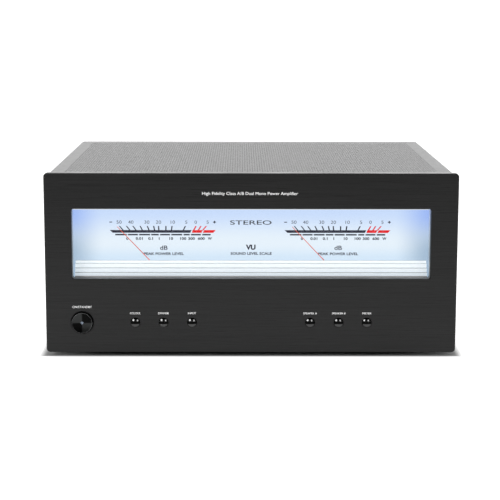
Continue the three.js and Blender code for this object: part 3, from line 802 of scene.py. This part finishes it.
def vents():
    """The perforated field fills the opening. Each hole sits in a brick with six border points, and
    alternate rows are shifted by half a brick."""
    low_x, high_x = -(COVER_HIGH.x - VENT["side"]), COVER_HIGH.x - VENT["side"]
    low_y, high_y = COVER_LOW.y + VENT["front"], COVER_HIGH.y - VENT["rear"]
    columns = round((high_x - low_x) / VENT["pitch"] - 0.5)
    width = (high_x - low_x) / (columns + 0.5)
    rows = 2 * round((high_y - low_y) / (width * math.sqrt(0.75)) / 2)
    depth = (high_y - low_y) / rows
    for name, first, last in (("vents_front", 0, rows // 2), ("vents_rear", rows // 2, rows)):
        bricks, ends = [], []
        for row in range(first, last):
            near, far = low_y + depth * row, low_y + depth * (row + 1)
            start = low_x + (width / 2 if row % 2 else 0)
            bricks += [(start + width * (column + 0.5), near, far) for column in range(columns)]
            end = low_x if row % 2 else high_x - width / 2
            ends.append((end, end + width / 2, near, far))
        make(name, vent_mesh(bricks, ends, width), PAINT, smooth_angle=40)


def vent_mesh(bricks, ends, width):
    bm = bmesh.new()
    known = {}

    def pair(x, y):
        """The upper and the lower vertex at one place."""
        key = (round(x, 3), round(y, 3))
        if key not in known:
            known[key] = add_loop(bm, [Vector((x, y, COVER_HIGH.z)), Vector((x, y, COVER_HIGH.z - SHEET))])
        return known[key]

    def add_both(pairs):
        upper = bm.faces.new([top for top, _ in pairs])
        bm.faces.new([bottom for _, bottom in reversed(pairs)])
        return upper

    sides = VENT["sides"]
    faces = []
    for x, near, far in bricks:
        left, right = x - width / 2, x + width / 2
        rim = [pair(u, v) for u, v in circle(x, (near + far) / 2, VENT["radius"], sides)]
        border = [(right, near), (right, far), (x, far), (left, far), (left, near), (x, near)]
        corners = [pair(u, v) for u, v in border]
        for k in range(6):
            arc = [rim[(2 * k + step) % sides] for step in (1, 0, -1)]
            faces.append(add_both([corners[k], corners[(k + 1) % 6]] + arc))
        for (top_a, low_a), (top_b, low_b) in zip(rim, rim[1:] + rim[:1]):
            bm.faces.new((top_b, top_a, low_a, low_b))
    for left, right, near, far in ends:
        corners = ((left, near), (right, near), (right, far), (left, far))
        faces.append(add_both([pair(u, v) for u, v in corners]))
    below = {top: low for top, low in known.values()}
    rims = [edge for face in faces for edge in face.edges if len(edge.link_faces) == 1]
    for edge in rims:
        a, b = edge.verts
        bm.faces.new((a, b, below[b], below[a]))
    return bm


def add_screw(bm, place, radius=3, axis="Y", outward=1):
    """A button-head screw with a hexagon socket. Outward is the way its head points along the axis."""
    socket = radius * 0.5

    def hexagon(angle, reach):
        turn = (angle % (math.pi / 3)) - math.pi / 6
        return math.cos(math.pi / 6) / math.cos(turn) if reach <= socket else 1

    dome = [(radius * 0.62, 1.3), (radius * 0.85, 1.0), (radius, 0.4), (radius, -0.2), (0, -0.2)]
    profile = [(0, 0.5), (socket, 0.5), (socket, 1.35)] + dome
    profile = [(reach, along * outward) for reach, along in profile]
    add_turned(bm, profile, place, axis, 48, hexagon)


def cover_screws():
    bm = bmesh.new()
    for y in COVER_SCREWS["y"]:
        for _, sign in SIDES:
            add_screw(bm, (sign * COVER_HIGH.x, y, COVER_SCREWS["z"]), 3, "X", sign)
    make("cover_screws", bm, POLISHED, smooth_angle=30)


# -------------------- rear
def rear_screws():
    places = [(x, z) for x in (-198, 198) for z in (24, 100, 178)] + [(x, 178) for x in (-70, 70)]
    places += [(x, 20) for x in (-100, 100)]
    bm = bmesh.new()
    for x, z in places:
        add_screw(bm, (x, REAR, z), 2.6)
    make("rear_screws", bm, POLISHED, smooth_angle=30)


def rear_label(text, x, z, height=2.6):
    name = "rear_" + "".join(c if c.isalnum() else "_" for c in f"{text}_{round(x)}_{round(z)}".lower())
    lettering(name, text, (x, REAR + 0.03, z), height, WHITE_INK, bold=0.01, rear=True)


def rear_labels():
    for side, sign in SIDES:
        rear_label(side.upper(), sign * 129, 178, 3.2)
        rear_label("UNBALANCED", sign * PHONO_X, 139)
        rear_label("BALANCED", sign * XLR_X, 130.5)
        rear_label("SPEAKERS", sign * 118, 116)
    rear_label("TRIGGER", 0, 142)
    rear_label("AC IN", 0, 70)
    rear_label("POWER", ROCKER[0], 68)


def post_knob(node, plastic):
    """A fluted plastic grip round a gold core."""
    low, high = cad(node)
    centre = ((low.x + high.x) / 2, 0, (low.z + high.z) / 2)
    start, end = low.y, high.y

    def flutes(angle, _):
        return 1 - 0.055 * max(0, math.cos(angle * 20)) ** 2

    grip = [(4.8, start), (8.4, start), (9, start + 0.8), (9, end - 6), (8.3, end - 5.2), (8.3, end - 1.4),
            (7.4, end - 0.4), (5.4, end - 0.4), (5.4, end - 4), (4.8, end - 4), (4.8, start)]
    make_turned(f"{node}_grip", grip, centre, 160, plastic, node, shape=flutes, replaces=[node])
    core = [(5.1, end - 3.8), (5.1, end - 0.3), (4.8, end), (2.4, end), (2.1, end - 0.3), (2.1, end - 3.8),
            (5.1, end - 3.8)]
    make_turned(f"{node}_core", core, centre, 64, GOLD, node)


def speaker_terminals():
    screws = bmesh.new()
    for side, _ in SIDES:
        low, high = cad(f"speaker_terminal_{side}")
        middle = (low.x + high.x) / 2
        face = REAR + 3.3
        for x in (low.x + 5, middle, high.x - 5):
            for z in (low.z + 5, high.z - 5):
                add_screw(screws, (x, face, z), 2)
        for k in range(4):
            node = f"post_knob_{side}_{k + 1}"
            centre = sum(cad(node), Vector()) / 2
            x, positive = centre.x, k % 2 == 1
            plastic = RED_PLASTIC if positive else BLACK_PLASTIC
            post_knob(node, plastic)
            end = face + 3.2
            collar = [(4.2, face), (9.7, face), (9.7, face + 2.4), (9.3, end), (4.2, end), (4.2, face)]
            collar = rounded(collar, 0.4, 3)
            make_turned(f"collar_{side}_{k + 1}", collar, (x, 0, centre.z), 64, plastic)
            bars = bmesh.new()
            add_block(bars, (x - 1.6, face, high.z - 4.6), (x + 1.6, face + 0.06, high.z - 4.1))
            if positive:
                add_block(bars, (x - 0.25, face, high.z - 5.95), (x + 0.25, face + 0.07, high.z - 2.75))
            make(f"post_mark_{side}_{k + 1}", bars, WHITE_INK, smooth_angle=0)
    make("terminal_screws", screws, STEEL, smooth_angle=30)


def mains_inlet():
    low, high = cad("mains_inlet")
    mouth = high.y

    def flange(c):
        return rounded_rect(low.x + c, high.x - c, low.z + c, high.z - c, 4 - c)

    def body(_):
        return rounded_rect(-14, 14, 33, 62.5, 0.5)

    def socket(c):
        half, narrow, foot, top = 12.2 - c, 8.2 - c, 34.8 + c, 51.2 - c
        return [(-half, foot), (half, foot), (half, 46.7), (narrow, top), (-narrow, top), (-half, 46.7)]

    def slot(c):
        return rounded_rect(-11.6 + c, 11.6 - c, 54 + c, 60.6 - c, 0.5)

    bm = bmesh.new()
    add_plate(bm, UPRIGHT, [flange, socket, slot], REAR + 0.3, mouth, 0.4)
    add_plate(bm, UPRIGHT, [body, socket, slot], low.y + 3, REAR + 0.3)
    add_plate(bm, UPRIGHT, [body], low.y, low.y + 3)
    make("inlet_moulding", bm, BLACK_PLASTIC, replaces=["mains_inlet"], smooth_angle=30)
    blades = bmesh.new()
    for x, z in ((-7, 41.6), (0, 46), (7, 41.6)):
        add_block(blades, (x - 1, mouth - 17, z - 2), (x + 1, mouth - 4, z + 2), 0.3)
    make("inlet_blades", blades, STEEL)
    screws = bmesh.new()
    for x in (-20, 20):
        add_screw(screws, (x, mouth, 47.7), 2.8)
    make("inlet_screws", screws, STEEL, smooth_angle=30)
    low, high = cad("fuse_drawer")
    bm = bmesh.new()
    add_block(bm, low, high, 0.4)
    add_block(bm, (-3, high.y - 0.2, 55.6), (3, high.y, 56.4), 0.1)
    make("fuse_drawer_front", bm, BLACK_PLASTIC, replaces=["fuse_drawer"])


def mains_rocker():
    turn = Matrix.Translation(Vector(ROCKER) * MM) @ Matrix.Rotation(math.radians(-10), 4, "X")
    section = [(-5, 0), (-5, -5), (0, -10.5), (6, -10.5), (4.6, 0), (6, 10.5), (0, 10.5), (-5, 5), (-5, 0)]
    bm = bmesh.new()
    add_prism(bm, ACROSS, rounded(section, 0.7, 3)[:-1], -8.1, 8.1, 0.3)
    bm.transform(turn)
    make("rocker_cap", bm, BLACK_PLASTIC, "mains_rocker", replaces=["mains_rocker"])
    marks = bmesh.new()
    add_block(marks, (-0.4, 5.2, -8), (0.4, 5.62, -4))
    ring = [(1.6, 5.2), (2.2, 5.2), (2.2, 5.62), (1.6, 5.62), (1.6, 5.2)]
    add_turned(marks, ring, (0, 0, 6), sides=32)
    marks.transform(turn)
    make("rocker_marks", marks, WHITE_INK, "mains_rocker", smooth_angle=30)


def signal_sockets():
    face = REAR + 0.3
    for side, sign in SIDES:
        node = f"rca_socket_{side}"
        low, high = cad(node)
        end, well = high.y, high.y - 1
        centre = (sign * PHONO_X, 0, SIGNAL_Z)
        nut = [(4.2, face), (6.5, face), (6.5, face + 2.1), (6.1, face + 2.5), (4.2, face + 2.5)]
        shell = [(4.15, face + 2.5), (4.15, end - 0.3), (3.9, end), (3.6, end), (3.5, well), (1.7, well),
                 (1.7, face + 2), (0, face + 2)]
        profile = [(0, low.y), (4, low.y), (4, face)] + nut + shell
        make_turned(f"rca_shell_{side}", profile, centre, 64, GOLD, replaces=[node])
        ring = [(1.75, well), (3.45, well), (3.45, end - 0.4), (1.75, end - 0.4), (1.75, well)]
        plastic = WHITE_PLASTIC if side == "left" else RED_PLASTIC
        make_turned(f"rca_insulator_{side}", ring, centre, 48, plastic)
        xlr_details(side, sign * XLR_X, face)
    node = "trigger_socket"
    low, high = cad(node)
    end, well = high.y, low.y + 4
    jack = [(0, low.y), (3, low.y), (3, face), (4.5, face), (4.5, end - 0.4), (4.1, end), (2.1, end),
            (1.8, end - 0.3), (1.8, well), (0, well)]
    make_turned("trigger_jack", jack, (0, 0, SIGNAL_Z), 48, STEEL, replaces=[node])


def xlr_details(side, x, face):
    contacts = bmesh.new()
    start, end = face + 0.6, face + 1.12
    tube = [(0.7, start), (1.2, start), (1.2, end), (0.7, end), (0.7, start)]
    for angle in (150, 30, 270):
        u, v = 3.4 * math.cos(math.radians(angle)), 3.4 * math.sin(math.radians(angle))
        add_turned(contacts, tube, (x + u, 0, SIGNAL_Z + v), sides=24)
    make(f"xlr_contacts_{side}", contacts, GOLD)
    bm = bmesh.new()
    add_block(bm, (x - 2.6, face + 1.8, SIGNAL_Z + 10.2), (x + 2.6, face + 3.1, SIGNAL_Z + 14.2), 0.4)
    for u, v in ((-10, 12.5), (10, -12.5)):
        add_screw(bm, (x + u, face + 2, SIGNAL_Z + v), 1.8)
    make(f"xlr_latch_{side}", bm, STEEL, smooth_angle=30)


# -------------------- feet and inside
def middle_of(node):
    """The place of a node's upright axis, and its top."""
    low, high = cad(node)
    return ((low.x + high.x) / 2, (low.y + high.y) / 2, 0), high.z


def feet():
    for end in ("front", "rear"):
        for side, _ in SIDES:
            node = f"foot_{end}_{side}"
            centre, top = middle_of(node)
            pad = [(0, 0), (19, 0), (20.5, 0.8), (20.5, 2.4)]
            shoe = [(23, 2.4), (24, 3.4), (24, 10.2), (23.4, top), (0, top)]
            profile = rounded(pad, 0.6, 3) + shoe
            make_turned(f"{node}_shoe", profile, centre, 96, RUBBER, axis="Z", replaces=[node])


def transformers():
    def wires(angle, _):
        return 1 - 0.004 * (1 + math.cos(angle * 90))

    for side, _ in SIDES:
        node = f"transformer_{side}"
        centre, top = middle_of(node)
        foot = cad(node)[0].z
        section = [(16, 0), (16, foot), (60, foot), (60, top), (16, top), (16, 0)]
        section = [(r, z) for r, z in rounded(section, 11, 8)[1:-1] if z > 0]
        section.append(section[0])
        make_turned(f"toroid_{side}", section, centre, 360, FILM, axis="Z", shape=wires, replaces=[node])
        node = f"transformer_clamp_{side}"
        foot, top = (corner.z for corner in cad(node))
        dish = [(0, foot), (4, foot), (4, top - 9.7), (38, top - 9.7), (38, top - 8), (12, top - 6.2),
                (8, top - 6)]
        nut = [(7, top - 6), (7, top - 1.2), (6.4, top - 0.6), (4, top - 0.6), (4, top), (0, top)]
        profile = rounded(dish, 0.8, 3) + nut
        make_turned(f"toroid_clamp_{side}", profile, centre, 72, STEEL, axis="Z", replaces=[node])


def capacitors():
    for k in range(4):
        node = f"capacitor_{k + 1}"
        centre, top = middle_of(node)
        foot, crimp, seat = cad(node)[0].z, top - 6, top - 0.5
        sleeve = [(0, foot), (26, foot), (26, crimp - 1), (25.2, crimp), (26, crimp + 1), (26, top - 1.2),
                  (25, top), (21.5, top), (21, seat)]
        profile = rounded(sleeve, 0.8) + [(0, seat)]
        make_turned(f"{node}_sleeve", profile, centre, 72, SLEEVE, axis="Z", replaces=[node])
        lid = [(0, seat), (20.8, seat), (20.8, top - 0.1), (20.2, top), (3.4, top), (3, top - 0.3),
               (0, top - 0.3)]
        make_turned(f"{node}_lid", lid, centre, 72, ALUMINIUM, axis="Z")


def circuit_details():
    """Small parts on the boards that show through the perforations."""
    chips = bmesh.new()
    low, high = cad("power_board")
    for k in range(8):
        x = low.x + 24 + k * (high.x - low.x - 48) / 7
        add_block(chips, (x - 5, low.y + 3, high.z), (x + 5, low.y + 9, high.z + 9), 0.5)
    for side, sign in SIDES:
        low, high = cad(f"amp_board_{side}")
        left, right = (low.x - 9, low.x) if sign > 0 else (high.x, high.x + 9)
        for k in range(7):
            y = low.y + 20 + k * 32
            add_block(chips, (left, y, 100), (right, y + 14, 122), 0.6)
    make("board_parts", chips, BLACK_PLASTIC)


# -------------------- assembly
front_panel()
front_lettering()
standby_button()
for button, (button_x, _, _) in SMALL_BUTTONS.items():
    small_button(button, button_x)
stepped_bar()
centre_print()
for side_name, pivot in METER_X.items():
    dial_print(side_name, pivot)
    needle(side_name, pivot)
folded_cover()
vents()
cover_screws()
rear_screws()
rear_labels()
speaker_terminals()
mains_inlet()
mains_rocker()
signal_sockets()
feet()
transformers()
capacitors()
circuit_details()

dress(PAINT, "rear_panel", "base_plate")
dress(STEEL, "sub_panel")
dress(ACRYLIC, "display_window")
dress(WHITE_PLASTIC, "display_housing")
dress(DIAL, "dial_plate")
dress(BOARD, "light_board", "switch_board", "power_board", "input_board")
dress(BLACK_PLASTIC, "mains_switch_body")
for side_name, _ in SIDES:
    dress(BOARD, f"amp_board_{side_name}")
    dress(ALUMINIUM, f"heatsink_{side_name}")
    dress(BLACK_PLASTIC, f"speaker_terminal_{side_name}", f"xlr_socket_{side_name}")
    dress(STEEL, f"meter_movement_{side_name}")


# -------------------- studio
def floor():
    """A white floor. Beside and behind the object it also glows, so that it stays white to the horizon.
    Beneath the object it has a painted shadow: grey and with no glow. Far in front of it, it is plain."""
    material = new_material("studio_floor", "", grey(0.9), 0.9, Emission_Color=(1, 1, 1, 1))
    x, y, _ = object_axes(material)
    beside = span(material, math_node(material, "ABSOLUTE", x), PANEL_HIGH.x, PANEL_HIGH.x + 12)
    half_depth = (COVER_HIGH.y - FACE) / 2
    from_middle = math_node(material, "SUBTRACT", y, (FACE + half_depth) * MM)
    along = math_node(material, "ABSOLUTE", from_middle)
    beyond = span(material, along, half_depth - 5, half_depth + 5)
    seen = span(material, y, FACE - 850, FACE - 440)
    # Clear is 0 beneath the object, where the floor has a painted shadow.
    clear = math_node(material, "MAXIMUM", beside, beyond)
    glow = math_node(material, "MULTIPLY", seen, clear)
    feed(material, math_node(material, "MULTIPLY", glow, 0.8), "Emission Strength")
    pale = ramp(material, noise(material, 3, 3), [(0.3, grey(0.88)), (0.7, grey(0.91))])
    # Painted shadow: the base colour turns grey beneath the object.
    feed(material, blend_colours(material, clear, grey(0.35), pale), "Base Color")
    bm = bmesh.new()
    bmesh.ops.create_grid(bm, x_segments=1, y_segments=1, size=60)
    mesh = bpy.data.meshes.new("studio_floor")
    bm.to_mesh(mesh)
    bm.free()
    mesh.materials.append(material)
    plane = bpy.data.objects.new("studio_floor", mesh)
    bpy.context.collection.objects.link(plane)


def world():
    """White behind and above the object, darker in front of it, so the fascia stays dark."""
    surroundings = bpy.data.worlds.new("studio")
    surroundings.use_nodes = True
    _, y, z = axes(surroundings, add_node(surroundings, "TexCoord").outputs["Generated"])
    parts = []
    for value, ends in ((y, (-0.3, 0.3, 0.05, 1)), (z, (0.3, 0.6, 1.95, 0.6))):
        part = map_range(surroundings, value, ends)
        part.interpolation_type = "SMOOTHSTEP"
        parts.append(part.outputs["Result"])
    strength = math_node(surroundings, "MULTIPLY", *parts)
    background = surroundings.node_tree.nodes["Background"]
    background.inputs["Color"].default_value = (1, 1, 1, 1)
    link(surroundings, strength, background.inputs["Strength"])
    bpy.context.scene.world = surroundings


def softbox(name, place, target, width, height, power):
    """An area light. Place, target and sizes are in metres, and power is in watts."""
    lamp = bpy.data.lights.new(name, "AREA")
    lamp.shape = "RECTANGLE"
    lamp.size, lamp.size_y = width, height
    lamp.energy = power
    holder = bpy.data.objects.new(name, lamp)
    holder.location = place
    aim = Vector(target) - Vector(place)
    holder.rotation_euler = aim.to_track_quat("-Z", "Y").to_euler()
    bpy.context.collection.objects.link(holder)


def camera():
    lens = bpy.data.cameras.new("camera")
    lens.lens = CAMERA["lens"]
    lens.sensor_width = 36
    lens.clip_end = 500
    holder = bpy.data.objects.new("camera", lens)
    turn = Matrix.Translation(Vector(CAMERA["place"]) * MM)
    for degrees, axis in ((-CAMERA["yaw"], "Z"), (90 - CAMERA["pitch"], "X"), (CAMERA["roll"], "Z")):
        turn = turn @ Matrix.Rotation(math.radians(degrees), 4, axis)
    holder.matrix_world = turn
    bpy.context.collection.objects.link(holder)
    bpy.context.scene.camera = holder


floor()
world()
softbox("overhead", (0, -0.4, 1.9), (0, -0.3, 0), 2.6, 1.6, 15)
softbox("front_left", (-1.3, -1.85, 1.1), (0, -0.18, 0.06), 0.95, 1, 19)
softbox("front_right", (1.05, -2, 0.95), (0, -0.18, 0.06), 0.75, 0.9, 9)
camera()
bpy.context.scene.view_settings.view_transform = "Standard"
